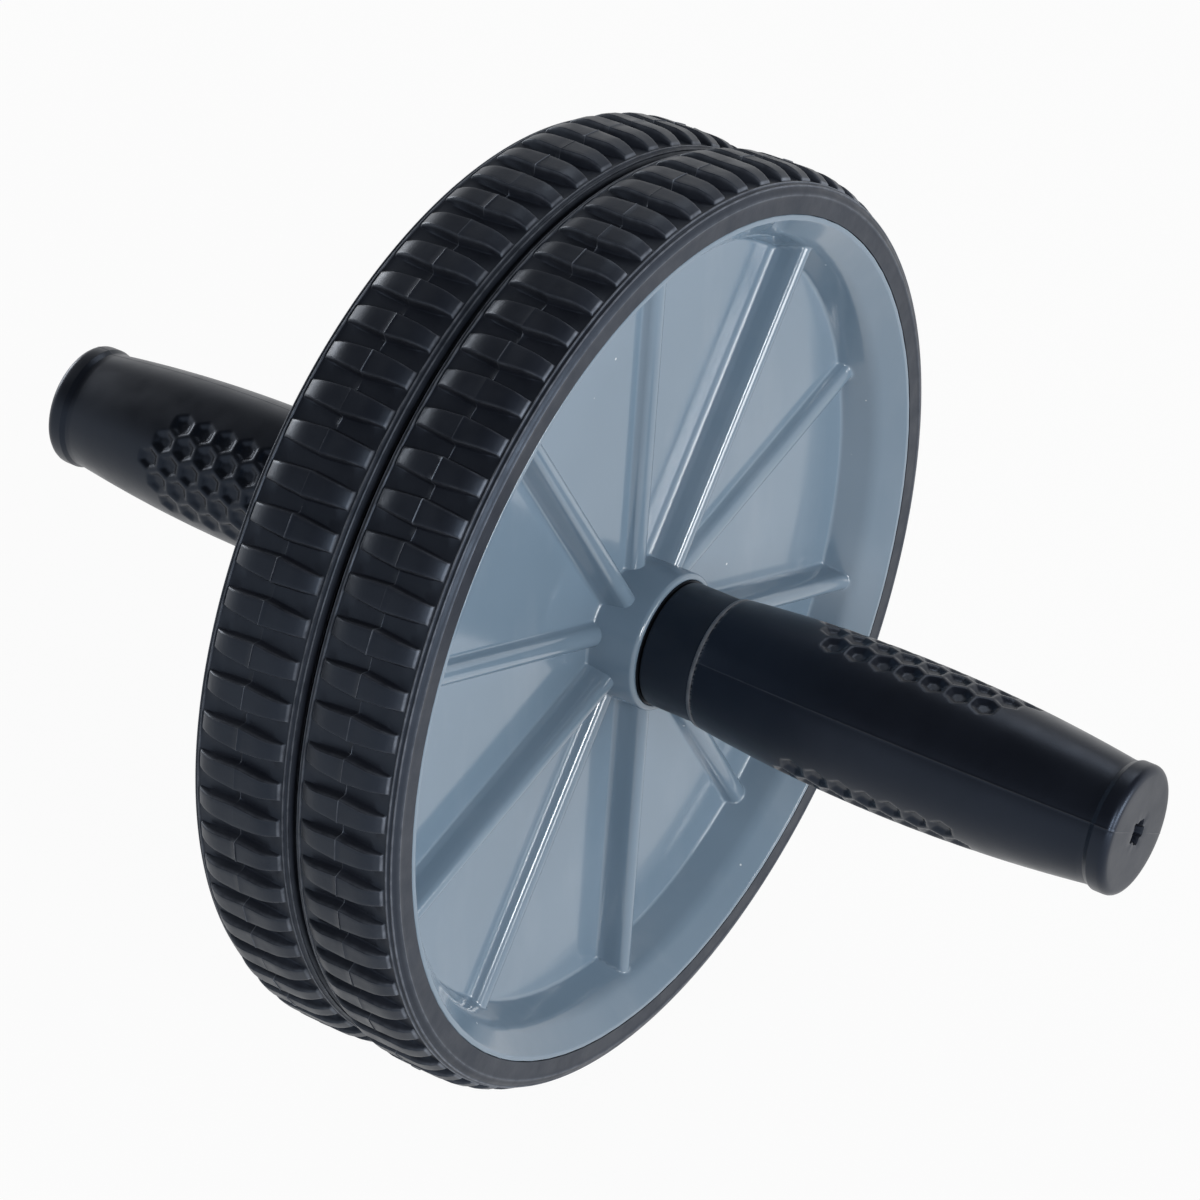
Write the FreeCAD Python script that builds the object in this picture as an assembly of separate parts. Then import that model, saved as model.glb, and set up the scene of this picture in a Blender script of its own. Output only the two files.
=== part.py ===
import FreeCAD, Part
import math
import os

# Ab wheel roller: two rubber-tyred wheels side by side on a steel axle, with a soft grip at each end.
# Millimetres. The axle lies along Y, Z is up, X is the rolling direction.
# The origin is the middle of the axle, between the two wheels.
# Every piece beside the middle is made once on the +Y side and turned half round Z for the -Y side.

# Wheels
rim_diameter = 169.2
wheel_width = 21.9
wheel_gap = 0.8
rim_lip = 1.0
lip_slope_width = 4.4
lip_slope_depth = 4.4
wall_slope_width = 2.6
dish_depth = 11.2
web_thickness = 3.0
rim_wall = 2.6

# Ribs on the outer side of each web, low and tall in turn
rib_count = 10
rib_phase = 24.0
rib_foot_width = 5.0
tall_rib_height = 6.0
tall_rib_top_width = 3.6
low_rib_height = 2.6
low_rib_top_width = 4.8

# Hubs and their flanged bushes
hub_recess = 0.8
hub_lip = 1.25
hub_edge_round = 0.9
bush_wall = 2.5
bush_flange_width = 3.95
bush_flange_thickness = 2.0

# Tyres
tyre_height = 7.9
seat_depth = 3.0
seat_lip_width = 2.2
shoulder_round = 1.9
lug_count = 72
lug_height = 2.2
lug_end_height = 0.5
lug_middle_width = 4.7
lug_end_width = 3.3
lug_margin = 2.1
lug_crown_length = 8.0
lug_root = 0.6
left_tyre_turn = 1.7

# Axle and the washer between the hubs
axle_diameter = 12.0
axle_chamfer = 1.0
axle_inset = 2.0
washer_width = 4.95
washer_thickness = 2.0

# Handle cores and grips
core_wall = 4.0
collar_step = 2.35
collar_length = 10.9
collar_edge = 0.6
grip_length = 88.4
grip_mouth_wall = 2.9
grip_mouth_round = 0.8
grip_belly_rise = 2.1
grip_belly_place = 38.5
grip_neck_drop = 0.9
grip_neck_width = 1.0
grip_flange_rise = 0.5
grip_flange_width = 4.6
grip_flange_round = 1.6
grip_end_wall = 7.0
vent_diameter = 5.0
vent_depth = 1.5

# Clearances
running_clearance = 0.05
press_clearance = 0.02
seat_clearance = 0.05
flange_clearance = 0.1
end_play = 0.3
washer_play = 0.1

# Stations along the axle, from the middle outwards
wheel_back = wheel_gap / 2
rim_face = wheel_back + wheel_width
web_face = rim_face - dish_depth
web_back = web_face - web_thickness
hub_back = washer_thickness / 2 + washer_play
hub_end = rim_face - hub_recess
collar_start = hub_end + end_play
grip_start = collar_start + collar_length
grip_end = grip_start + grip_length
core_end = grip_end - grip_end_wall
axle_end = core_end - axle_inset

# Radii from the axle outwards
axle_radius = axle_diameter / 2
bush_bore = axle_radius + running_clearance
bush_radius = bush_bore + bush_wall
bush_flange_radius = bush_radius + bush_flange_width
washer_radius = bush_bore + washer_width
hub_bore = bush_radius + press_clearance
counterbore_radius = bush_flange_radius + flange_clearance
counterbore_depth = bush_flange_thickness + flange_clearance
hub_radius = counterbore_radius + hub_lip
core_bore = axle_radius + press_clearance
core_radius = core_bore + core_wall
collar_radius = core_radius + collar_step
grip_bore = core_radius + press_clearance
grip_mouth_radius = grip_bore + grip_mouth_wall
grip_belly_radius = grip_mouth_radius + grip_belly_rise
grip_neck_radius = grip_mouth_radius - grip_neck_drop
grip_flange_radius = grip_neck_radius + grip_flange_rise
rim_radius = rim_diameter / 2
dish_edge_radius = rim_radius - rim_lip - lip_slope_width
web_radius = dish_edge_radius - wall_slope_width
seat_radius = rim_radius - seat_depth
crown_radius = rim_radius + tyre_height
band_radius = crown_radius - lug_height

ORIGIN = FreeCAD.Vector(0, 0, 0)
AXLE = FreeCAD.Vector(0, 1, 0)
UP = FreeCAD.Vector(0, 0, 1)


def at(radius, station):
    """A point of a turned outline: distance from the axle, and place along it."""
    return FreeCAD.Vector(radius, station, 0)


def line(start, end):
    return Part.LineSegment(start, end).toShape()


def arc(start, middle, end):
    return Part.Arc(start, middle, end).toShape()


def rounded(start, corner, end):
    """A quarter-round edge from start to end, bulging towards the corner."""
    centre = start + end - corner
    radius = (corner - centre).Length / math.sqrt(2)
    middle = centre + (corner - centre).normalize() * radius
    return arc(start, middle, end)


def chain(*points):
    """Straight edges through the points in turn."""
    return [line(start, end) for start, end in zip(points, points[1:])]


def turned(edges):
    """The solid made by turning a closed outline about the axle."""
    face = Part.Face(Part.Wire(edges))
    return face.revolve(ORIGIN, AXLE, 360)


def about_axle(shape, degrees):
    """A copy turned about the axle, from +X towards +Z."""
    copy = shape.copy()
    copy.rotate(ORIGIN, AXLE, -degrees)
    return copy


def far_side(shape):
    """The same piece turned half round Z, for the other end of the axle."""
    copy = shape.copy()
    copy.rotate(ORIGIN, UP, 180)
    return copy


def seat_outline(radius_offset):
    """The stepped seat between rim and tyre, from the outer face to the inner face."""
    lip = rim_radius + radius_offset
    floor = seat_radius + radius_offset
    outer_lip = rim_face - seat_lip_width
    inner_lip = wheel_back + seat_lip_width
    return [
        at(lip, rim_face),
        at(lip, outer_lip),
        at(floor, outer_lip - seat_depth / 2),
        at(floor, inner_lip + seat_depth / 2),
        at(lip, inner_lip),
        at(lip, wheel_back),
    ]


def wheel_body():
    """Hub, web and dished rim as one turned moulding."""
    seat = seat_outline(0)
    back_wall = seat_radius - rim_wall
    round_start = at(hub_radius, hub_end - hub_edge_round)
    round_end = at(hub_radius - hub_edge_round, hub_end)
    edges = chain(
        *seat,
        at(back_wall, wheel_back),
        at(back_wall, web_back),
        at(hub_radius, web_back),
        at(hub_radius, hub_back),
        at(hub_bore, hub_back),
        at(hub_bore, hub_end - counterbore_depth),
        at(counterbore_radius, hub_end - counterbore_depth),
        at(counterbore_radius, hub_end),
        round_end,
    )
    edges.append(rounded(round_end, at(hub_radius, hub_end), round_start))
    edges += chain(
        round_start,
        at(hub_radius, web_face),
        at(web_radius, web_face),
        at(dish_edge_radius, rim_face - lip_slope_depth),
        at(rim_radius - rim_lip, rim_face),
        seat[0],
    )
    return turned(edges)


def rib(height, top_width):
    """One round-topped rib along +X, from inside the hub wall to inside the rim wall."""
    start = hub_radius - hub_lip / 2
    end = (dish_edge_radius + seat_radius) / 2
    root = (web_face + web_back) / 2
    foot = rib_foot_width / 2
    top = top_width / 2
    crest = web_face + height

    def section(across, station):
        return FreeCAD.Vector(start, station, across)

    edges = chain(
        section(-top, crest - top),
        section(-foot, web_face),
        section(-foot, root),
        section(foot, root),
        section(foot, web_face),
        section(top, crest - top),
    )
    edges.append(arc(section(top, crest - top), section(0, crest), section(-top, crest - top)))
    face = Part.Face(Part.Wire(edges))
    return face.extrude(FreeCAD.Vector(end - start, 0, 0))


def wheel():
    pitch = 360 / rib_count
    kinds = [rib(low_rib_height, low_rib_top_width), rib(tall_rib_height, tall_rib_top_width)]
    ribs = [about_axle(kinds[i % len(kinds)], rib_phase + pitch * i) for i in range(rib_count)]
    return wheel_body().fuse(ribs).removeSplitter()


def tyre_band():
    """The tyre without its lugs: a band with two rounded shoulders, seated in the rim."""
    seat = seat_outline(seat_clearance)
    inner_side = at(band_radius - shoulder_round, wheel_back)
    inner_edge = at(band_radius, wheel_back + shoulder_round)
    outer_edge = at(band_radius, rim_face - shoulder_round)
    outer_side = at(band_radius - shoulder_round, rim_face)
    edges = chain(*seat, inner_side)
    edges.append(rounded(inner_side, at(band_radius, wheel_back), inner_edge))
    edges.append(line(inner_edge, outer_edge))
    edges.append(rounded(outer_edge, at(band_radius, rim_face), outer_side))
    edges.append(line(outer_side, seat[0]))
    return turned(edges)


def crown_ring():
    """The ring that the lugs are cut from: level in the middle, curving down to both ends."""
    root = band_radius - lug_root
    low = band_radius + lug_end_height
    inner = wheel_back + lug_margin
    outer = rim_face - lug_margin
    slope = (outer - inner - lug_crown_length) / 2
    drop = crown_radius - low
    bend = (slope ** 2 + drop ** 2) / (2 * drop)
    half_turn = math.atan2(drop, slope)
    mid_drop = bend * (1 - math.cos(half_turn))
    mid_run = bend * math.sin(half_turn)
    level_start = at(crown_radius, inner + slope)
    level_end = at(crown_radius, outer - slope)
    edges = chain(at(low, outer), at(root, outer), at(root, inner), at(low, inner))
    edges.append(arc(at(low, inner), at(crown_radius - mid_drop, inner + slope - mid_run), level_start))
    edges.append(line(level_start, level_end))
    edges.append(arc(level_end, at(crown_radius - mid_drop, outer - slope + mid_run), at(low, outer)))
    return turned(edges)


def lug():
    """One raised lug on +X, widest half-way across the tread."""
    root = band_radius - lug_root
    inner = wheel_back + lug_margin
    outer = rim_face - lug_margin
    middle = (inner + outer) / 2
    plan = [
        (inner, -lug_end_width / 2),
        (middle, -lug_middle_width / 2),
        (outer, -lug_end_width / 2),
        (outer, lug_end_width / 2),
        (middle, lug_middle_width / 2),
        (inner, lug_end_width / 2),
    ]
    corners = [FreeCAD.Vector(root, station, across) for station, across in plan]
    face = Part.Face(Part.makePolygon(corners + corners[:1]))
    return face.extrude(FreeCAD.Vector(lug_height + lug_root, 0, 0)).common(crown_ring())


def tyre():
    pitch = 360 / lug_count
    one = lug()
    lugs = [about_axle(one, pitch * i) for i in range(lug_count)]
    return tyre_band().fuse(lugs)


def hub_bush():
    """A plain bearing sleeve with a flange that fills the end of the hub."""
    flange_back = hub_end - bush_flange_thickness
    return turned(chain(
        at(bush_bore, hub_back),
        at(bush_bore, hub_end),
        at(bush_flange_radius, hub_end),
        at(bush_flange_radius, flange_back),
        at(bush_radius, flange_back),
        at(bush_radius, hub_back),
        at(bush_bore, hub_back),
    ))


def axle_rod():
    return turned(chain(
        at(0, -axle_end),
        at(axle_radius - axle_chamfer, -axle_end),
        at(axle_radius, axle_chamfer - axle_end),
        at(axle_radius, axle_end - axle_chamfer),
        at(axle_radius - axle_chamfer, axle_end),
        at(0, axle_end),
        at(0, -axle_end),
    ))


def centre_washer():
    half = washer_thickness / 2
    return turned(chain(
        at(bush_bore, -half),
        at(washer_radius, -half),
        at(washer_radius, half),
        at(bush_bore, half),
        at(bush_bore, -half),
    ))


def handle_core():
    """A tube pressed on the axle, with a bare collar between the hub and the grip."""
    return turned(chain(
        at(core_bore, collar_start),
        at(collar_radius - collar_edge, collar_start),
        at(collar_radius, collar_start + collar_edge),
        at(collar_radius, grip_start),
        at(core_radius, grip_start),
        at(core_radius, core_end),
        at(core_bore, core_end),
        at(core_bore, collar_start),
    ))


def grip():
    """A barrel-shaped soft grip, closed at its outer end by a rounded flange."""
    mouth_start = at(grip_mouth_radius - grip_mouth_round, grip_start)
    mouth_end = at(grip_mouth_radius, grip_start + grip_mouth_round)
    belly = at(grip_belly_radius, grip_start + grip_belly_place)
    flange_start = grip_end - grip_flange_width
    neck = at(grip_neck_radius, flange_start - grip_neck_width)
    flange_back = at(grip_flange_radius, flange_start + grip_neck_width)
    rim_start = at(grip_flange_radius, grip_end - grip_flange_round)
    rim_end = at(grip_flange_radius - grip_flange_round, grip_end)
    vent_radius = vent_diameter / 2
    edges = [line(at(grip_bore, grip_start), mouth_start)]
    edges.append(rounded(mouth_start, at(grip_mouth_radius, grip_start), mouth_end))
    edges.append(arc(mouth_end, belly, neck))
    edges += chain(neck, flange_back, rim_start)
    edges.append(rounded(rim_start, at(grip_flange_radius, grip_end), rim_end))
    edges += chain(
        rim_end,
        at(vent_radius, grip_end),
        at(vent_radius, grip_end - vent_depth),
        at(0, grip_end - vent_depth),
        at(0, core_end),
        at(grip_bore, core_end),
        at(grip_bore, grip_start),
    )
    return turned(edges)


def save(name, shape):
    shape.exportStep("parts/" + name + ".step")


os.makedirs("parts", exist_ok=True)
save("axle_rod", axle_rod())
save("centre_washer", centre_washer())
both_tyres = tyre()
save("tyre_left", about_axle(both_tyres, left_tyre_turn))
save("tyre_right", far_side(both_tyres))
for piece in (wheel, hub_bush, handle_core, grip):
    made = piece()
    save(piece.__name__ + "_left", made)
    save(piece.__name__ + "_right", far_side(made))
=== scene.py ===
import math
import random

import bmesh
import bpy
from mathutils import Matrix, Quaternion, Vector


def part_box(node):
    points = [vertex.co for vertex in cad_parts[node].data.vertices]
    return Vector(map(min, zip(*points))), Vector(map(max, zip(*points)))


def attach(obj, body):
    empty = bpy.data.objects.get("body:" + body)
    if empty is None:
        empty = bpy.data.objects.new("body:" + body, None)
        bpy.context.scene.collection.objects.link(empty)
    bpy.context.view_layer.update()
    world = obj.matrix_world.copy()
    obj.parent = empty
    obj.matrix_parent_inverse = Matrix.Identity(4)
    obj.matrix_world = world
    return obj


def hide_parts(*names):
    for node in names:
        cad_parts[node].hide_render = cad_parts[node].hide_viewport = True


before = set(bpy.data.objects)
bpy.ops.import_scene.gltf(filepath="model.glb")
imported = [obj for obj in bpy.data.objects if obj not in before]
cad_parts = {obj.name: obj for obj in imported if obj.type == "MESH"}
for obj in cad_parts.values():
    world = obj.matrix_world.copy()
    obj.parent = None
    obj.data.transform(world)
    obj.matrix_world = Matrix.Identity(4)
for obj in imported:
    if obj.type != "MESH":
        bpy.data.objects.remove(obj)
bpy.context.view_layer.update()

# The dressed ab wheel roller. Shapes are worked out in millimetres and written in metres.
# A point of a turned piece has three measures: its distance from the axle, its angle from +X towards +Z in
# degrees, and its station along the axle. Pieces are laid out on the +Y side, and the -Y piece is turned half
# round Z. A fourth measure says how pale a point is: rubbed wear, and on some edges a painted highlight.

MM = 0.001


def extent(node):
    """A node's lowest and highest corners in millimetres."""
    low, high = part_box(node)
    return [value / MM for value in low], [value / MM for value in high]


tyre_low, tyre_high = extent("tyre_left")
bush_low, bush_high = extent("hub_bush_left")
core_low, core_high = extent("handle_core_left")
grip_low, grip_high = extent("grip_left")
wheel_high = extent("wheel_left")[1]
axle_high = extent("axle_rod")[1]

# Stations from the middle outwards
SIDE_IN = tyre_low[1]
SIDE_OUT = tyre_high[1]
MIDDLE = (SIDE_IN + SIDE_OUT) / 2
HUB_BACK = bush_low[1]
HUB_END = bush_high[1]
DISH_DEPTH = 11.2
WEB_THICKNESS = 3.0
WEB_FACE = SIDE_OUT - DISH_DEPTH
WEB_BACK = WEB_FACE - WEB_THICKNESS
COLLAR_START = core_low[1]
CORE_END = core_high[1]
GRIP_START = grip_low[1]
GRIP_END = grip_high[1]

# Radii from the axle outwards, and the steps of the rim and its seat
AXLE = axle_high[0]
PRESS = 0.02
CORE_BORE = AXLE + PRESS
CORE = 10.02
COLLAR = core_high[0]
GRIP_BORE = CORE + PRESS
HUB_BORE = 8.57
BUSH_PLAY = 0.1
COUNTERBORE = bush_high[0] + BUSH_PLAY
COUNTERBORE_DEPTH = 2.1
HUB = 13.85
WEB = 76.6
DISH_EDGE = 79.2
BACK_WALL = 79.0
RIM = wheel_high[0]
SEAT_DEPTH = 3.0
SEAT_LIP = 2.2
RIM_LIP = 1.0
LIP_SLOPE_DEPTH = 4.4
CROWN = tyre_high[2]

# Roundings of the wheel, and the longest steps along its section
COUNTERBORE_ROUND = 0.25
HUB_EDGE_ROUND = 0.9
HUB_FOOT_ROUND = 0.6
WALL_FOOT_ROUND = 0.8
DISH_ROUND = 7.0
RIM_SLOPE_ROUND = 0.4
RIM_ROUND = 0.3
BACK_WALL_ROUND = 1.2
BACK_HUB_ROUND = 0.8
HUB_BACK_ROUND = 0.4
HUB_REACH = 2.0
HUB_TOLERANCE = 0.01
FINE_STEP = 0.5
WEB_STEP = 6.0
BACK_STEP = 8.0

# Ribs, low and tall in turn: height and top radius of each kind
RIB_COUNT = 10
RIB_PHASE = 24.0
RIB_KINDS = ((2.6, 2.4), (6.0, 1.8))
RIB_ROUND_SHARE = 0.95
RIB_FOOT = 2.5
RIB_BLEND = 0.4
# Where points lie across a rib, from its middle line
RIB_ACROSS = (0.0, 0.6, 1.1, 1.45, 1.7, 1.95, 2.2, 2.45, 2.75, 3.15, 3.6)
BESIDE_RIBS = RIB_ACROSS[-1] + 1
# How much of the room between ribs these points may take near the hub
RIB_ROOM = 0.9
WEB_COLUMNS = 6

# Tyres: widths of a lug are halves
LUG_COUNT = 72
LUG_PITCH = 360 / LUG_COUNT
LUG_HEIGHT = 2.2
LUG_END_HEIGHT = 0.5
LUG_MIDDLE = 2.35
LUG_END = 1.65
LUG_MARGIN = 2.1
LUG_CROWN = 8.0
LUG_ROW = 1.2
BAND = CROWN - LUG_HEIGHT
SHOULDER = 1.9
SHOULDER_FOOT = 0.4
SIDE_STEP = 0.8
SIDE_WEAR = 0.04
TYRE_TURN = {1: 1.7, -1: 0.0}
SEAT_GAP = 0.05
FLASH_SEED = 7
FLASH_WIDTH = 0.13
FLASH_HEIGHT = 0.2
FLASH_JITTER = 0.16

# Across a lug from its edge: millimetres beyond the edge, share of the lug's height, paleness; the pale edge
# is partly wear and partly a painted highlight
LUG_EDGE = (
    (-0.50, 1.00, 0.0),
    (-0.20, 0.98, 0.1),
    (-0.05, 0.88, 0.35),
    (0.06, 0.60, 0.1),
    (0.20, 0.12, 0.0),
    (0.45, 0.00, 0.0),
)
# Beyond a lug's end: millimetres, share of the lug's height, paleness; the pale tick is partly wear and
# partly a painted highlight
LUG_TIP = (
    (-0.40, 1.00, 0.1),
    (-0.15, 0.95, 0.9),
    (0.00, 0.70, 0.9),
    (0.10, 0.20, 0.2),
    (0.28, 0.00, 0.0),
)
# Round the shoulder, with two lip rings: degrees from the top, height above it, paleness; the pale lip rings
# are partly rubbed and partly painted highlights
SHOULDER_LINE = (
    (3, 0.0, 0.0),
    (6, 0.05, 0.2),
    (9, 0.26, 0.8),
    (14, 0.26, 0.8),
    (18, 0.02, 0.1),
    (26, -0.04, 0.0),
    (31, 0.02, 0.1),
    (35, 0.22, 0.7),
    (40, 0.2, 0.7),
    (45, 0.0, 0.1),
    (60, 0.0, 0.0),
    (75, 0.0, 0.0),
    (86, 0.0, 0.2),
    (90, 0.1, 0.5),
)

# Cores
CORE_EDGE_ROUND = 0.3
COLLAR_ROUND = 0.6
COLLAR_STEP_ROUND = 0.15
CORE_COLUMNS = 120
CORE_STEP = 4.0

# Grips: barrel, bead round the mouth, flange
MOUTH = 12.94
MOUTH_ROUND = 0.8
BELLY = grip_high[0]
BELLY_STATION = GRIP_START + 38.5
BEAD_WIDTH = 0.9
BEAD_GROOVE = 0.16
NECK = 12.04
NECK_ROUND = 0.4
FLANGE_WIDTH = 4.6
NECK_WIDTH = 1.0
NECK_STATION = GRIP_END - FLANGE_WIDTH - NECK_WIDTH
FLANGE = 12.54
FLANGE_FOOT_ROUND = 0.5
FLANGE_ROUND = 1.6
FLANGE_STEP = 1.2
GRIP_COLUMNS = 252
GRIP_ROW = 0.4

# Grips: patches of hexagonal dimples on two opposite sides
DIMPLE_PITCH = 5.3
DIMPLE_DEPTH = 0.85
DIMPLE_RIDGE = 0.07
DIMPLE_SLOPE = 0.55
PATCH_STATION = GRIP_START + 40.0
PATCH_ROWS = 2
PATCH_LENGTH = 9
PATCH_TURN = {1: 160.0, -1: 125.0}

# Grips: parting lines between the patches, which turn over on to the end; the first two in degrees
PARTING_HALF = 0.7
PARTING_CLEAR = 1.2
PARTING_RISE = 0.06
PARTING_PALE = 0.22
END_ZONE = 0.5

# Grips: the ragged recess in the end
VENT = 2.3
VENT_DEPTH = 1.4
VENT_MIDDLE = 0.7
# Waves in its outline: how many, share of the radius, shift
VENT_WAVES = ((5, 0.13, 0.6), (9, 0.07, 2.0))
# Into the recess: share of the radius, share of the depth, paleness
VENT_LINE = (
    (1.25, 0.0, 0.0),
    (1.05, 0.05, 0.1),
    (0.95, 0.5, 0.0),
    (0.85, 1.0, 0.0),
    (0.5, 0.85, 0.0),
)

# Points closer than this are one, and edges bent by more degrees than these stay sharp
WELD = 0.002
SHARP = 45
TYRE_SHARP = 38
WHEEL_SHARP = 50


def place(side, radius, angle, station):
    """A point in metres; side is 1 on +Y and -1 on -Y."""
    turn = math.radians(angle)
    across = side * radius * math.cos(turn)
    return Vector((across, side * station, radius * math.sin(turn))) * MM


def ramp(value, low, high):
    """0 at low, 1 at high, with a soft start and end."""
    share = min(max((value - low) / (high - low), 0.0), 1.0)
    return share * share * (3 - 2 * share)


def smooth_max(first, second, width):
    """The greater of two heights, with a fillet where they meet."""
    overlap = max(width - abs(first - second), 0.0) / width
    return max(first, second) + overlap * overlap * width / 4


def rounded_path(corners, closed=False, steps=6):
    """Points along (radius, station, rounding) corners, each rounded by an arc."""
    path = []
    last = len(corners) - 1
    for i, (radius, station, rounding) in enumerate(corners):
        here = Vector((radius, station))
        if rounding == 0 or (not closed and i in (0, last)):
            path.append(here)
            continue
        to_before = (Vector(corners[i - 1][:2]) - here).normalized()
        to_after = (Vector(corners[(i + 1) % len(corners)][:2]) - here).normalized()
        half = to_before.angle(to_after) / 2
        centre = here + (to_before + to_after).normalized() * rounding / math.sin(half)
        start = here + to_before * rounding / math.tan(half) - centre
        end = here + to_after * rounding / math.tan(half) - centre
        first = math.atan2(start.y, start.x)
        sweep = math.remainder(math.atan2(end.y, end.x) - first, 2 * math.pi)
        for step in range(steps + 1):
            turn = first + sweep * step / steps
            path.append(centre + Vector((math.cos(turn), math.sin(turn))) * rounding)
    return path


def divided(path, longest):
    """The same path with points added so that no stretch is longer than asked."""
    out = path[:1]
    for start, end in zip(path, path[1:]):
        count = max(1, math.ceil((end - start).length / longest))
        out += [start.lerp(end, (i + 1) / count) for i in range(count)]
    return out


def skin(rings, closed):
    """The faces of a surface through rings of points; a ring of one point is a pole."""
    starts = [0]
    for ring in rings:
        starts.append(starts[-1] + len(ring))
    pairs = list(zip(range(len(rings)), range(1, len(rings))))
    if closed:
        pairs.append((len(rings) - 1, 0))
    faces = []
    for a, b in pairs:
        count = max(len(rings[a]), len(rings[b]))
        for i in range(count):
            j = (i + 1) % count
            corners = [
                starts[a] + i % len(rings[a]),
                starts[a] + j % len(rings[a]),
                starts[b] + j % len(rings[b]),
                starts[b] + i % len(rings[b]),
            ]
            faces.append(list(dict.fromkeys(corners)))
    return faces


def add_piece(name, side, rings, closed=False, sharp=SHARP):
    """A smooth mesh through rings of (radius, angle, station, paleness) points."""
    points = [point for ring in rings for point in ring]
    mesh = bpy.data.meshes.new(name)
    mesh.from_pydata([place(side, *point[:3]) for point in points], [], skin(rings, closed))
    # Paleness per point: rubbed wear, and painted highlights on some edges
    wear_and_highlight = mesh.attributes.new("wear_and_highlight", "FLOAT", "POINT")
    wear_and_highlight.data.foreach_set("value", [point[3] for point in points])
    work = bmesh.new()
    work.from_mesh(mesh)
    bmesh.ops.remove_doubles(work, verts=work.verts, dist=WELD * MM)
    bmesh.ops.dissolve_degenerate(work, edges=work.edges, dist=WELD * MM)
    bmesh.ops.recalc_face_normals(work, faces=work.faces)
    work.to_mesh(mesh)
    work.free()
    mesh.shade_smooth()
    mesh.set_sharp_from_angle(angle=math.radians(sharp))
    piece = bpy.data.objects.new(name, mesh)
    bpy.context.scene.collection.objects.link(piece)
    return piece


def dress(piece, material, body, slot, *nodes):
    """Gives a piece its material, its body and the nodes that it stands for; slot is not used."""
    piece.data.materials.append(material)
    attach(piece, body)
    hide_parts(*nodes)


def turned_ring(point, columns, wear_and_highlight=0.0):
    """One ring of a plain turned surface."""
    return [(point.x, angle, point.y, wear_and_highlight) for angle in columns]


def even_columns(count):
    """Angles evenly round the axle."""
    return [360 * i / count for i in range(count)]


# Tyres

def seat_corners(offset):
    """The stepped seat between rim and tyre, from the outer side to the inner side."""
    lip = RIM + offset
    floor = lip - SEAT_DEPTH
    outer = SIDE_OUT - SEAT_LIP
    inner = SIDE_IN + SEAT_LIP
    return [
        (lip, outer, 0),
        (floor, outer - SEAT_DEPTH / 2, 0),
        (floor, inner + SEAT_DEPTH / 2, 0),
        (lip, inner, 0),
    ]


def lug_top(station):
    """The radius of a lug's crowned top at a station."""
    slope = (SIDE_OUT - SIDE_IN) / 2 - LUG_MARGIN - LUG_CROWN / 2
    drop = LUG_HEIGHT - LUG_END_HEIGHT
    bend = (slope ** 2 + drop ** 2) / (2 * drop)
    beyond = max(abs(station - MIDDLE) - LUG_CROWN / 2, 0.0)
    return CROWN - bend + math.sqrt(bend ** 2 - min(beyond, slope) ** 2)


def lug_half_width(station):
    """Half a lug's width: widest half-way across the tread."""
    share = min(abs(station - MIDDLE) / (MIDDLE - SIDE_IN - LUG_MARGIN), 1.0)
    return LUG_MIDDLE + (LUG_END - LUG_MIDDLE) * share


def tread_rows():
    """Rows across the tread from the outer end: station, share of height, paleness, share of mould flash."""
    end = SIDE_OUT - LUG_MARGIN
    half = [(end + beyond, share, wear_and_highlight, 0.0) for beyond, share, wear_and_highlight in reversed(LUG_TIP)]
    inside = end + LUG_TIP[0][0]
    count = round((inside - MIDDLE) / LUG_ROW)
    for i in range(1, count):
        half.append((inside + (MIDDLE - inside) * i / count, 1.0, 0.0, 0.0))
    half.append((MIDDLE + FLASH_WIDTH, 1.0, 0.0, 0.0))
    mirrored = [(2 * MIDDLE - row[0],) + row[1:] for row in reversed(half)]
    return half + [(MIDDLE, 1.0, 0.0, 1.0)] + mirrored


def lug_columns(half_width):
    """Places across one lug, from valley to valley: offset, share of height, paleness."""
    right = [(half_width / 2, 1.0, 0.0)]
    right += [(half_width + beyond, share, wear_and_highlight) for beyond, share, wear_and_highlight in LUG_EDGE]
    left = [(-offset, share, wear_and_highlight) for offset, share, wear_and_highlight in reversed(right)]
    return left + [(0.0, 1.0, 0.0)] + right


def mould_flash(side):
    """The thin seam of flash in the middle: shift and height on each lug, then in the valley after it."""
    dice = random.Random(FLASH_SEED + side)
    return [
        (dice.uniform(-1, 1), dice.random(), dice.uniform(-1, 1), dice.random())
        for _ in range(LUG_COUNT)
    ]


def tread_ring(side, flash, station, row_share, row_rubbing_and_highlight, row_flash):
    """One ring over all lugs and valleys, from one of the tread's rows."""
    ring = []
    half_width = lug_half_width(station)
    height = lug_top(station) - BAND
    for i, (lug_shift, lug_flash, valley_shift, valley_flash) in enumerate(flash):
        centre = TYRE_TURN[side] + LUG_PITCH * i
        for offset, share, wear_and_highlight in lug_columns(half_width):
            on_lug = share > 0.5
            shift = (lug_shift if on_lug else valley_shift) * FLASH_JITTER
            amount = row_flash * (lug_flash if on_lug else valley_flash)
            radius = BAND + height * share * row_share + FLASH_HEIGHT * amount
            place_along = station + (shift if row_flash else 0.0)
            # Paleness from edge wear and flash, with painted highlights on lug edges and ends
            pale = max(wear_and_highlight * row_share, row_rubbing_and_highlight * share, amount)
            ring.append((radius, centre + math.degrees(offset / BAND), place_along, pale))
        amount = row_flash * valley_flash
        ring.append((BAND + FLASH_HEIGHT * amount, centre + LUG_PITCH / 2, station, amount))
    return ring


def tyre_columns(side):
    """Angles round the tyre's sides, as close together as the lugs need."""
    offsets = [math.degrees(offset / BAND) for offset, _, _ in lug_columns(LUG_MIDDLE)]
    offsets.append(LUG_PITCH / 2)
    return [TYRE_TURN[side] + LUG_PITCH * i + offset for i in range(LUG_COUNT) for offset in offsets]


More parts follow.
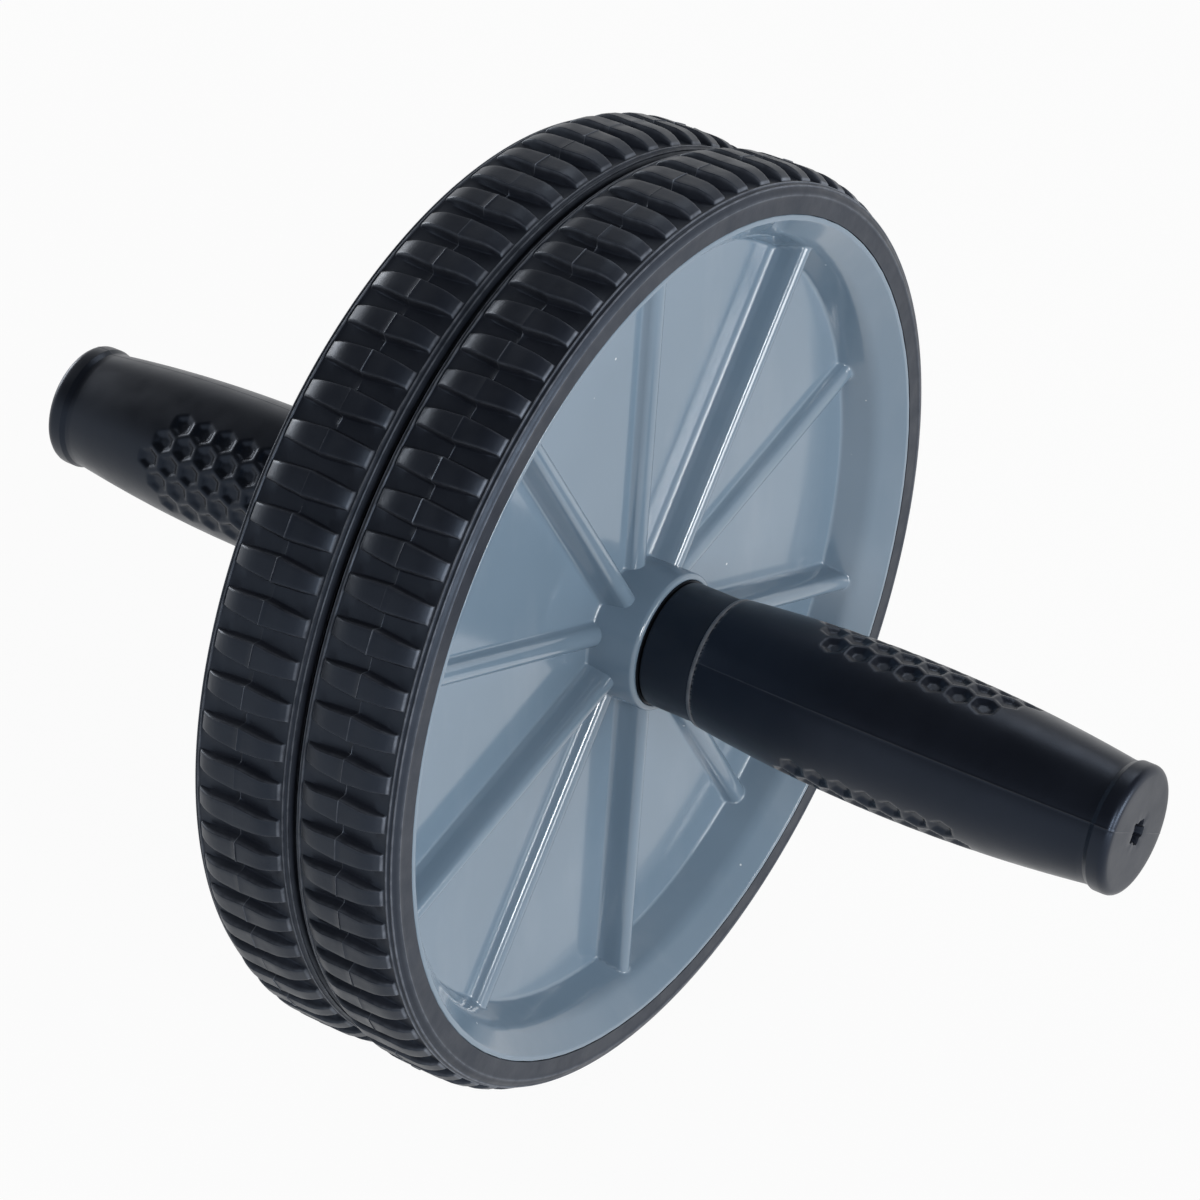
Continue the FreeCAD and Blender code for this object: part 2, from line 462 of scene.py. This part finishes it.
def shoulder_ring(columns, sign, turn, rise, wear_and_highlight):
    """One ring round the shoulder; sign is 1 on the outer side and -1 on the inner side."""
    angle = math.radians(turn)
    side_station = SIDE_OUT if sign > 0 else SIDE_IN
    centre = Vector((BAND - SHOULDER, side_station - sign * SHOULDER))
    point = centre + Vector((math.cos(angle), sign * math.sin(angle))) * (SHOULDER + rise)
    return turned_ring(point, columns, wear_and_highlight)


def tyre_rings(side):
    """The tyre, ring by ring, from the outer bead across the tread to the inner bead and the seat."""
    flash = mould_flash(side)
    columns = tyre_columns(side)
    bead = Vector((RIM + SEAT_GAP, SIDE_OUT))
    foot = Vector((BAND - SHOULDER - SHOULDER_FOOT, SIDE_OUT))
    outer_side = divided([bead, foot], SIDE_STEP)
    inner_side = [Vector((point.x, SIDE_IN)) for point in reversed(outer_side)]
    rings = [turned_ring(point, columns, SIDE_WEAR) for point in outer_side]
    rings += [shoulder_ring(columns, 1, *step) for step in reversed(SHOULDER_LINE)]
    rings += [tread_ring(side, flash, *row) for row in tread_rows()]
    rings += [shoulder_ring(columns, -1, *step) for step in SHOULDER_LINE]
    rings += [turned_ring(point, columns, SIDE_WEAR) for point in inner_side]
    rings += [turned_ring(Vector(corner[:2]), columns) for corner in reversed(seat_corners(SEAT_GAP))]
    return rings


# Wheels

def rib_top(across, kind):
    """The station of a rib's surface, at a distance from its middle line: a round top on straight flanks."""
    height, top = RIB_KINDS[kind]
    centre = WEB_FACE + height - top
    shoulder = RIB_ROUND_SHARE * top
    across = abs(across)
    if across <= shoulder:
        return centre + math.sqrt(top ** 2 - across ** 2)
    edge = centre + math.sqrt(top ** 2 - shoulder ** 2)
    share = (across - shoulder) / (RIB_FOOT - shoulder)
    return edge + (WEB_FACE - edge) * share


def wheel_columns(radius):
    """Angles round the wheel, close together at ribs, with the distance from a rib and the rib's kind."""
    pitch = 360 / RIB_COUNT
    across = [-value for value in reversed(RIB_ACROSS[1:])] + list(RIB_ACROSS)
    most = pitch / 2 * RIB_ROOM
    columns = []
    for i in range(RIB_COUNT):
        centre = RIB_PHASE + pitch * i
        kind = i % len(RIB_KINDS)
        for value in across:
            turn = math.degrees(math.asin(min(abs(value) / radius, 1.0)))
            turn = math.copysign(min(turn, most * abs(value) / RIB_ACROSS[-1]), value)
            columns.append((centre + turn, value, kind))
        edge = columns[-1][0] - centre
        gap = pitch - 2 * edge
        for step in range(WEB_COLUMNS):
            columns.append((centre + edge + gap * (step + 1) / (WEB_COLUMNS + 1), BESIDE_RIBS, kind))
    return columns


def dish_path():
    """The outer side of the wheel in section: hub, web, dished rim."""
    path = rounded_path([
        (COUNTERBORE, HUB_END - COUNTERBORE_DEPTH, 0),
        (COUNTERBORE, HUB_END, COUNTERBORE_ROUND),
        (HUB, HUB_END, HUB_EDGE_ROUND),
        (HUB, WEB_FACE, HUB_FOOT_ROUND),
        (WEB, WEB_FACE, WALL_FOOT_ROUND),
        (DISH_EDGE, SIDE_OUT - LIP_SLOPE_DEPTH, DISH_ROUND),
        (RIM - RIM_LIP, SIDE_OUT, RIM_SLOPE_ROUND),
        (RIM, SIDE_OUT, RIM_ROUND),
        (RIM, SIDE_OUT - SEAT_LIP, 0),
    ])
    near_hub = [point for point in path if point.x < HUB + HUB_REACH]
    near_rim = [point for point in path if point.x >= HUB + HUB_REACH]
    web = divided([near_hub[-1], near_rim[0]], WEB_STEP)[1:-1]
    return divided(near_hub, FINE_STEP) + web + divided(near_rim, FINE_STEP)


def back_path():
    """The rest of the wheel in section: seat, inner side, bore."""
    path = rounded_path(seat_corners(0) + [
        (RIM, SIDE_IN, RIM_ROUND),
        (BACK_WALL, SIDE_IN, RIM_ROUND),
        (BACK_WALL, WEB_BACK, BACK_WALL_ROUND),
        (HUB, WEB_BACK, BACK_HUB_ROUND),
        (HUB, HUB_BACK, HUB_BACK_ROUND),
        (HUB_BORE, HUB_BACK, 0),
        (HUB_BORE, HUB_END - COUNTERBORE_DEPTH, 0),
    ])
    return divided(path[1:], BACK_STEP)


def wheel_rings():
    """The wheel, ring by ring: outer side with its ribs, seat, inner side, bore."""
    rings = []
    for point in dish_path():
        in_dish = HUB - HUB_TOLERANCE <= point.x <= RIM - RIM_LIP
        ring = []
        for angle, across, kind in wheel_columns(point.x):
            ribbed = in_dish and abs(across) <= RIB_ACROSS[-1]
            station = smooth_max(point.y, rib_top(across, kind), RIB_BLEND) if ribbed else point.y
            ring.append((point.x, angle, station, 0.0))
        rings.append(ring)
    for point in back_path():
        rings.append([(point.x, angle, point.y, 0.0) for angle, _, _ in wheel_columns(point.x)])
    return rings


# Handles

def core_rings():
    """The tube on the axle with the bare collar between hub and grip."""
    path = rounded_path([
        (CORE_BORE, COLLAR_START, CORE_EDGE_ROUND),
        (COLLAR, COLLAR_START, COLLAR_ROUND),
        (COLLAR, GRIP_START, COLLAR_STEP_ROUND),
        (CORE, GRIP_START, 0),
        (CORE, CORE_END, CORE_EDGE_ROUND),
        (CORE_BORE, CORE_END, CORE_EDGE_ROUND),
    ], closed=True)
    columns = even_columns(CORE_COLUMNS)
    return [turned_ring(point, columns) for point in divided(path, CORE_STEP)]


def barrel_radius(station):
    """The barrel is one arc through the mouth, the belly and the neck."""
    points = (
        (GRIP_START + MOUTH_ROUND, MOUTH),
        (BELLY_STATION, BELLY),
        (NECK_STATION, NECK),
    )
    (x1, y1), (x2, y2), (x3, y3) = points
    spread = 2 * (x1 * (y2 - y3) + x2 * (y3 - y1) + x3 * (y1 - y2))
    square = [x * x + y * y for x, y in points]
    centre_x = (square[0] * (y2 - y3) + square[1] * (y3 - y1) + square[2] * (y1 - y2)) / spread
    centre_y = (square[0] * (x3 - x2) + square[1] * (x1 - x3) + square[2] * (x2 - x1)) / spread
    bend = math.hypot(x1 - centre_x, y1 - centre_y)
    return centre_y + math.sqrt(bend ** 2 - (station - centre_x) ** 2)


def dimple(station, angle, turn):
    """How deep the hexagon pattern is at a point: two patches of staggered rows on opposite sides."""
    along = station - PATCH_STATION
    around = min((math.remainder(angle - turn - half, 360) for half in (0, 180)), key=abs)
    row_step = DIMPLE_PITCH * math.sqrt(3) / 2
    arc = math.radians(around) * BELLY
    nearest = 1.0
    for row in range(-PATCH_ROWS, PATCH_ROWS + 1):
        count = PATCH_LENGTH - abs(row)
        cell = round(along / DIMPLE_PITCH + (count - 1) / 2)
        cell = min(max(cell, 0), count - 1)
        a = abs(along - (cell - (count - 1) / 2) * DIMPLE_PITCH)
        b = abs(arc - row * row_step)
        hexagon = max(a, a / 2 + b * math.sqrt(3) / 2)
        nearest = min(nearest, hexagon / (DIMPLE_PITCH / 2))
    return DIMPLE_DEPTH * ramp(1 - nearest, DIMPLE_RIDGE, DIMPLE_RIDGE + DIMPLE_SLOPE)


def grip_columns(turn):
    """Even angles, with extra ones beside the two parting lines; each says how far it is on a line."""
    lines = [turn + 90, turn + 270]
    columns = []
    for angle in even_columns(GRIP_COLUMNS):
        if all(abs(math.remainder(angle - at, 360)) > PARTING_CLEAR for at in lines):
            columns.append((angle, 0.0))
    for at in lines:
        columns += [((at + step * PARTING_HALF) % 360, 1.0 - abs(step)) for step in (-1, 0, 1)]
    return sorted(columns)


def bore_and_bead(angles):
    """Rings from the bottom of the bore to the groove behind the bead; the bead is painted pale as a
    highlight.
    """
    rings = [[(0.0, 0.0, CORE_END, 0.0)]]
    rings += [turned_ring(Vector((GRIP_BORE, station)), angles) for station in (CORE_END, GRIP_START)]
    bead = rounded_path([
        (GRIP_BORE, GRIP_START, 0),
        (MOUTH, GRIP_START, BEAD_WIDTH / 2),
        (MOUTH, GRIP_START + BEAD_WIDTH, BEAD_GROOVE),
        (MOUTH - BEAD_GROOVE, GRIP_START + BEAD_WIDTH, 0),
    ])
    # The rounded bead is painted fully pale: a painted highlight
    rings += [turned_ring(point, angles, 1.0) for point in bead[1:-1]]
    return rings + [turned_ring(bead[-1], angles)]


def barrel(columns, turn):
    """Rings along the barrel, with its dimples and parting lines."""
    start = GRIP_START + BEAD_WIDTH + BEAD_GROOVE
    count = round((NECK_STATION - start) / GRIP_ROW)
    rings = []
    for i in range(1, count + 1):
        station = start + (NECK_STATION - start) * i / count
        base = barrel_radius(station)
        ring = []
        for angle, on_line in columns:
            radius = base - dimple(station, angle, turn) + PARTING_RISE * on_line
            ring.append((radius, angle, station, PARTING_PALE * on_line))
        rings.append(ring)
    return rings


def flange(columns):
    """Rings over the neck and the flange to the flat end, with the parting lines."""
    start = GRIP_END - FLANGE_WIDTH
    path = rounded_path([
        (NECK, NECK_STATION, 0),
        (NECK, start, NECK_ROUND),
        (FLANGE, start + NECK_WIDTH, FLANGE_FOOT_ROUND),
        (FLANGE, GRIP_END, FLANGE_ROUND),
        (VENT * 2, GRIP_END, 0),
    ])
    rings = []
    for point in divided(path, FLANGE_STEP)[1:]:
        on_end = point.y >= GRIP_END - END_ZONE
        ring = []
        for angle, on_line in columns:
            rise = PARTING_RISE * on_line
            radius = point.x if on_end else point.x + rise
            station = point.y + rise if on_end else point.y
            ring.append((radius, angle, station, PARTING_PALE * on_line))
        rings.append(ring)
    return rings


def vent_radius(angle):
    """The ragged outline of the recess in the end."""
    turn = math.radians(angle)
    share = 1.0
    for waves, size, shift in VENT_WAVES:
        share += size * math.cos(waves * turn + shift)
    return VENT * share


def vent(angles):
    """Rings down into the recess and to its middle."""
    rings = []
    for share, depth, wear_and_highlight in VENT_LINE:
        station = GRIP_END - depth * VENT_DEPTH
        rings.append([(share * vent_radius(angle), angle, station, wear_and_highlight) for angle in angles])
    return rings + [[(0.0, 0.0, GRIP_END - VENT_DEPTH * VENT_MIDDLE, 0.0)]]


def grip_rings(side):
    """The grip, ring by ring, from the bottom of its bore over the mouth to the recess in its end."""
    turn = PATCH_TURN[side]
    columns = grip_columns(turn)
    angles = [angle for angle, _ in columns]
    return bore_and_bead(angles) + barrel(columns, turn) + flange(columns) + vent(angles)


# Materials: linear colours, in pairs between which a piece varies, and the bluish tint of the gloss, which
# paints the cool colour of the reflected light into the material

PLASTIC_COLOURS = ((0.154, 0.22, 0.29), (0.168, 0.236, 0.308))
PLASTIC_SMEAR = (0.36, 0.41, 0.47)
PLASTIC_DUST = (0.6, 0.64, 0.68)
TYRE_COLOURS = ((0.009, 0.0106, 0.0164), (0.0162, 0.0186, 0.0262))
# Pale rubbed rubber, also used for painted highlights on lug edges and lips
TYRE_RUBBED_AND_HIGHLIGHT = (0.185, 0.205, 0.245)
TYRE_REFLECTED_LIGHT_TINT = (0.58, 0.75, 1.0, 1.0)
GRIP_COLOURS = ((0.0036, 0.0044, 0.0078), (0.007, 0.0084, 0.0134))
# Pale rubbed grip, also the painted highlight on the mouth bead
GRIP_RUBBED_AND_HIGHLIGHT = (0.155, 0.162, 0.175)
GRIP_REFLECTED_LIGHT_TINT = (0.56, 0.7, 0.95, 1.0)
BLACK_COLOURS = ((0.004, 0.0048, 0.0068), (0.0075, 0.0084, 0.0108))
BLACK_REFLECTED_LIGHT_TINT = (0.56, 0.72, 1.0, 1.0)
STEEL_COLOURS = ((0.55, 0.56, 0.57), (0.42, 0.41, 0.4))

# Most of the noise lies between these levels
NOISE_LOW = 0.3
NOISE_HIGH = 0.7


def start_material(name):
    """A new material with its node tree and its shader."""
    material = bpy.data.materials.new(name)
    material.use_nodes = True
    tree = material.node_tree
    return material, tree, tree.nodes["Principled BSDF"]


def position(tree, stretch=(1, 1, 1)):
    """Object coordinates, stretched to draw a pattern out along an axis."""
    coordinates = tree.nodes.new("ShaderNodeTexCoord")
    mapping = tree.nodes.new("ShaderNodeMapping")
    mapping.inputs["Scale"].default_value = stretch
    tree.links.new(coordinates.outputs["Object"], mapping.inputs["Vector"])
    return mapping.outputs["Vector"]


def noise(tree, size, detail=3.0, stretch=(1, 1, 1)):
    """Cloudy noise with features of about the given size in millimetres."""
    node = tree.nodes.new("ShaderNodeTexNoise")
    node.inputs["Scale"].default_value = 1 / (size * MM)
    node.inputs["Detail"].default_value = detail
    tree.links.new(position(tree, stretch), node.inputs["Vector"])
    return node.outputs["Fac"]


def remap(tree, value, low, high, out_low=0.0, out_high=1.0):
    """A value moved from one range to another, and kept inside it."""
    node = tree.nodes.new("ShaderNodeMapRange")
    node.inputs["From Min"].default_value = low
    node.inputs["From Max"].default_value = high
    node.inputs["To Min"].default_value = out_low
    node.inputs["To Max"].default_value = out_high
    tree.links.new(value, node.inputs["Value"])
    return node.outputs["Result"]


def varied(tree, clouds, low=0.0, high=1.0):
    """Noise spread over the whole of a range."""
    return remap(tree, clouds, NOISE_LOW, NOISE_HIGH, low, high)


def combine(tree, operation, first, second):
    """Two values joined by a Math node; the second may be a number."""
    node = tree.nodes.new("ShaderNodeMath")
    node.operation = operation
    tree.links.new(first, node.inputs[0])
    if isinstance(second, float):
        node.inputs[1].default_value = second
    else:
        tree.links.new(second, node.inputs[1])
    return node.outputs[0]


def mix(tree, factor, first, second):
    """A colour between two; each is a linear colour or another node's output."""
    node = tree.nodes.new("ShaderNodeMix")
    node.data_type = "RGBA"
    tree.links.new(factor, node.inputs["Factor"])
    for socket, value in ((node.inputs[6], first), (node.inputs[7], second)):
        if isinstance(value, tuple):
            socket.default_value = value + (1.0,)
        else:
            tree.links.new(value, socket)
    return node.outputs[2]


def rubbing_and_highlight_mask(tree):
    """How pale a point is, from rubbed wear and from painted highlights on edges."""
    node = tree.nodes.new("ShaderNodeAttribute")
    node.attribute_name = "wear_and_highlight"
    return node.outputs["Fac"]


def bumps(tree, shader, *layers):
    """Stacks (height, depth in millimetres) layers of fine relief."""
    normal = None
    for height, depth in layers:
        node = tree.nodes.new("ShaderNodeBump")
        node.inputs["Strength"].default_value = 1.0
        node.inputs["Distance"].default_value = depth * MM
        tree.links.new(height, node.inputs["Height"])
        if normal:
            tree.links.new(normal, node.inputs["Normal"])
        normal = node.outputs["Normal"]
    tree.links.new(normal, shader.inputs["Normal"])


def specks(tree, spacing, size):
    """Sparse dots, where a scattered point lies in the surface."""
    node = tree.nodes.new("ShaderNodeTexVoronoi")
    node.inputs["Scale"].default_value = 1 / (spacing * MM)
    tree.links.new(position(tree), node.inputs["Vector"])
    return remap(tree, node.outputs["Distance"], size / spacing, 0.6 * size / spacing)


def grey_plastic():
    """Glossy blue-grey moulding with faint flow marks, handling smears and a few specks of dust."""
    material, tree, shader = start_material("grey_plastic")
    flow = remap(tree, noise(tree, 38, 2), 0.35, 0.65)
    colour = mix(tree, flow, *PLASTIC_COLOURS)
    smears = remap(tree, noise(tree, 16, 4, (1, 1, 0.35)), 0.52, 0.75, 0.0, 0.16)
    colour = mix(tree, smears, colour, PLASTIC_SMEAR)
    colour = mix(tree, specks(tree, 10, 0.3), colour, PLASTIC_DUST)
    tree.links.new(colour, shader.inputs["Base Color"])
    tree.links.new(varied(tree, noise(tree, 11, 4), 0.08, 0.14), shader.inputs["Roughness"])
    shader.inputs["Specular IOR Level"].default_value = 0.65
    bumps(tree, shader, (noise(tree, 14, 1), 0.012), (noise(tree, 0.8, 1), 0.0008))
    return material


def tyre_rubber():
    """Charcoal rubber with a fine mould grain, paler along its flash, and paler on its lug edges and lips,
    partly from wear and partly as painted highlights.
    """
    material, tree, shader = start_material("tyre_rubber")
    colour = mix(tree, varied(tree, noise(tree, 14, 4)), *TYRE_COLOURS)
    # Pale wear and painted edge highlights, broken up by noise
    rub_and_highlight = combine(tree, "MULTIPLY", rubbing_and_highlight_mask(tree), varied(tree, noise(tree, 2.2, 3), 0.35, 1.0))
    colour = mix(tree, rub_and_highlight, colour, TYRE_RUBBED_AND_HIGHLIGHT)
    tree.links.new(colour, shader.inputs["Base Color"])
    tree.links.new(varied(tree, noise(tree, 5, 3), 0.36, 0.52), shader.inputs["Roughness"])
    shader.inputs["Specular IOR Level"].default_value = 0.36
    shader.inputs["Specular Tint"].default_value = TYRE_REFLECTED_LIGHT_TINT
    bumps(tree, shader, (noise(tree, 3.5, 3), 0.05), (noise(tree, 0.35, 2), 0.012))
    return material


def grip_rubber():
    """Soft black grip with a satin skin, a fine grain and handling marks, and a painted highlight on the bead
    round its mouth.
    """
    material, tree, shader = start_material("grip_rubber")
    colour = mix(tree, varied(tree, noise(tree, 18, 4)), *GRIP_COLOURS)
    patches = remap(tree, noise(tree, 3, 3), 0.35, 0.7, 0.6, 1.0)
    colour = mix(tree, combine(tree, "MULTIPLY", rubbing_and_highlight_mask(tree), patches), colour, GRIP_RUBBED_AND_HIGHLIGHT)
    tree.links.new(colour, shader.inputs["Base Color"])
    tree.links.new(varied(tree, noise(tree, 7, 4), 0.3, 0.4), shader.inputs["Roughness"])
    shader.inputs["Specular IOR Level"].default_value = 0.4
    shader.inputs["Specular Tint"].default_value = GRIP_REFLECTED_LIGHT_TINT
    shader.inputs["Sheen Weight"].default_value = 0.02
    shader.inputs["Sheen Roughness"].default_value = 0.4
    bumps(tree, shader, (noise(tree, 9, 3), 0.05), (noise(tree, 0.3, 2), 0.008))
    return material


def black_plastic():
    """Black moulded plastic with turning marks round the axle."""
    material, tree, shader = start_material("black_plastic")
    colour = mix(tree, varied(tree, noise(tree, 8, 3)), *BLACK_COLOURS)
    tree.links.new(colour, shader.inputs["Base Color"])
    tree.links.new(varied(tree, noise(tree, 4, 4), 0.34, 0.5), shader.inputs["Roughness"])
    shader.inputs["Specular IOR Level"].default_value = 0.45
    shader.inputs["Specular Tint"].default_value = BLACK_REFLECTED_LIGHT_TINT
    bumps(tree, shader, (noise(tree, 1.2, 2, (0.1, 1, 0.1)), 0.01), (noise(tree, 0.4, 2), 0.008))
    return material


def drawn_steel():
    """Drawn steel bar: long fine lines, small stains."""
    material, tree, shader = start_material("drawn_steel")
    stain = remap(tree, noise(tree, 6, 4), 0.45, 0.7)
    tree.links.new(mix(tree, stain, *STEEL_COLOURS), shader.inputs["Base Color"])
    shader.inputs["Metallic"].default_value = 1.0
    lines = noise(tree, 0.5, 2, (1, 0.02, 1))
    tree.links.new(varied(tree, lines, 0.22, 0.4), shader.inputs["Roughness"])
    bumps(tree, shader, (lines, 0.004))
    return material


# The object

GREY = grey_plastic()
TYRE = tyre_rubber()
GRIP = grip_rubber()
BLACK = black_plastic()
STEEL = drawn_steel()

for word, side in (("left", 1), ("right", -1)):
    tyre = add_piece("lugged_tyre_" + word, side, tyre_rings(side), closed=True, sharp=TYRE_SHARP)
    dress(tyre, TYRE, "wheel_" + word, "tyre_rubber", "tyre_" + word)
    wheel = add_piece("ribbed_wheel_" + word, side, wheel_rings(), closed=True, sharp=WHEEL_SHARP)
    dress(wheel, GREY, "wheel_" + word, "grey_plastic", "wheel_" + word)
    core = add_piece("collared_core_" + word, side, core_rings(), closed=True)
    dress(core, BLACK, "axle", "black_plastic", "handle_core_" + word)
    grip = add_piece("barrel_grip_" + word, side, grip_rings(side))
    dress(grip, GRIP, "axle", "grip_rubber", "grip_" + word)

for node, material in (
    ("axle_rod", STEEL),
    ("centre_washer", BLACK),
    ("hub_bush_left", BLACK),
    ("hub_bush_right", BLACK),
):
    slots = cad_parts[node].data.materials
    slots.clear()
    slots.append(material)


# Stage, light and camera

# The floor: half its width in metres, two colours, size of its clouds, and how much of it shows as white
FLOOR_HALF = 4.0
FLOOR_WHITE = 0.68
FLOOR_PALER = FLOOR_WHITE + 0.01
FLOOR_CLOUD = 400
FLOOR_SHOWN = 0.95

# The world: its light on the object, and in mirrored views a ceiling that dims between two heights
WORLD_LIGHT = 0.08
CEILING_LIGHT = 0.14
CEILING_LOW = 0.15
CEILING_HIGH = 0.6

# Soft boxes: name, place, width and height in metres, watts, roll in degrees
LAMPS = (
    ("key", (-0.547, -0.817, 0.493), 0.18, 0.3, 4.6, -34),
    ("right_softbox", (0.15, -1.4, 0.1), 0.8, 0.6, 15, 0),
    ("left_softbox", (0.25, 1.4, 0.35), 0.8, 0.6, 12, 0),
    ("back_lamp", (0.8, 0.1, 0.9), 0.5, 0.5, 2.0, 0),
)

# The camera: direction in degrees, place and lens in millimetres
AZIMUTH = math.radians(-55.8)
ELEVATION = math.radians(36.77)
DISTANCE = 882.2
SHIFT_RIGHT = 4.0
SHIFT_UP = 0.88
SENSOR = 36.0
LENS = 138.86
NEAREST_SEEN = 50


def seen_rays(tree):
    """1 for rays that show the background straight or through glass; and 1 for mirrored rays."""
    path = tree.nodes.new("ShaderNodeLightPath")
    straight = combine(tree, "MAXIMUM", path.outputs["Is Camera Ray"], path.outputs["Is Transmission Ray"])
    return straight, path.outputs["Is Glossy Ray"]


def floor_material():
    """Pale floor that shows nearly white and keeps the object's shadow."""
    material, tree, shader = start_material("studio_floor")
    shader.inputs["Roughness"].default_value = 0.9
    shader.inputs["Specular IOR Level"].default_value = 0.0
    tone = varied(tree, noise(tree, FLOOR_CLOUD, 2))
    colour = mix(tree, tone, (FLOOR_WHITE,) * 3, (FLOOR_PALER,) * 3)
    tree.links.new(colour, shader.inputs["Base Color"])
    glow = tree.nodes.new("ShaderNodeEmission")
    blend = tree.nodes.new("ShaderNodeMixShader")
    shown = combine(tree, "MULTIPLY", combine(tree, "MAXIMUM", *seen_rays(tree)), FLOOR_SHOWN)
    tree.links.new(shown, blend.inputs["Fac"])
    tree.links.new(shader.outputs["BSDF"], blend.inputs[1])
    tree.links.new(glow.outputs["Emission"], blend.inputs[2])
    tree.links.new(blend.outputs["Shader"], tree.nodes["Material Output"].inputs["Surface"])
    return material


def add_floor():
    """The floor, level with the lowest point of the tyres."""
    height = -CROWN * MM
    mesh = bpy.data.meshes.new("studio_floor")
    corners = [(-1, -1), (1, -1), (1, 1), (-1, 1)]
    mesh.from_pydata([(x * FLOOR_HALF, y * FLOOR_HALF, height) for x, y in corners], [], [(0, 1, 2, 3)])
    mesh.materials.append(floor_material())
    floor = bpy.data.objects.new("studio_floor", mesh)
    bpy.context.scene.collection.objects.link(floor)


def light_world():
    """White where it is seen, dimmer above in mirrored views, and weak where it lights the object."""
    world = bpy.data.worlds.new("studio")
    bpy.context.scene.world = world
    world.use_nodes = True
    tree = world.node_tree
    background = tree.nodes["Background"]
    background.inputs["Color"].default_value = (1, 1, 1, 1)
    straight, mirrored = seen_rays(tree)
    coordinates = tree.nodes.new("ShaderNodeTexCoord")
    height = tree.nodes.new("ShaderNodeSeparateXYZ")
    tree.links.new(coordinates.outputs["Generated"], height.inputs["Vector"])
    room = remap(tree, height.outputs["Z"], CEILING_LOW, CEILING_HIGH, 1.0, CEILING_LIGHT)
    soft = remap(tree, mirrored, 1, 0, 0.0, WORLD_LIGHT)
    light = combine(tree, "MAXIMUM", combine(tree, "MULTIPLY", mirrored, room), soft)
    tree.links.new(combine(tree, "MAXIMUM", straight, light), background.inputs["Strength"])


def add_lamp(name, place_at, width, height, power, roll):
    """A soft box that faces the middle of the object, rolled by some degrees."""
    lamp = bpy.data.lights.new(name, "AREA")
    lamp.shape = "RECTANGLE"
    lamp.size = width
    lamp.size_y = height
    lamp.energy = power
    holder = bpy.data.objects.new(name, lamp)
    holder.location = place_at
    aim = (-Vector(place_at)).to_track_quat("-Z", "Y")
    holder.rotation_euler = (aim @ Quaternion((0, 0, 1), math.radians(roll))).to_euler()
    bpy.context.scene.collection.objects.link(holder)


def add_camera():
    """The photograph's viewpoint: a long lens, above and in front of the right handle."""
    back = Vector((
        math.sin(AZIMUTH) * math.cos(ELEVATION),
        -math.cos(AZIMUTH) * math.cos(ELEVATION),
        math.sin(ELEVATION),
    ))
    right = Vector((math.cos(AZIMUTH), math.sin(AZIMUTH), 0))
    up = back.cross(right)
    data = bpy.data.cameras.new("camera")
    data.sensor_width = SENSOR
    data.lens = LENS
    data.clip_start = NEAREST_SEEN * MM
    camera = bpy.data.objects.new("camera", data)
    camera.location = (back * DISTANCE + right * SHIFT_RIGHT + up * SHIFT_UP) * MM
    camera.rotation_euler = back.to_track_quat("Z", "Y").to_euler()
    bpy.context.scene.collection.objects.link(camera)
    bpy.context.scene.camera = camera


add_floor()
light_world()
for lamp_values in LAMPS:
    add_lamp(*lamp_values)
add_camera()
bpy.context.scene.view_settings.view_transform = "Standard"
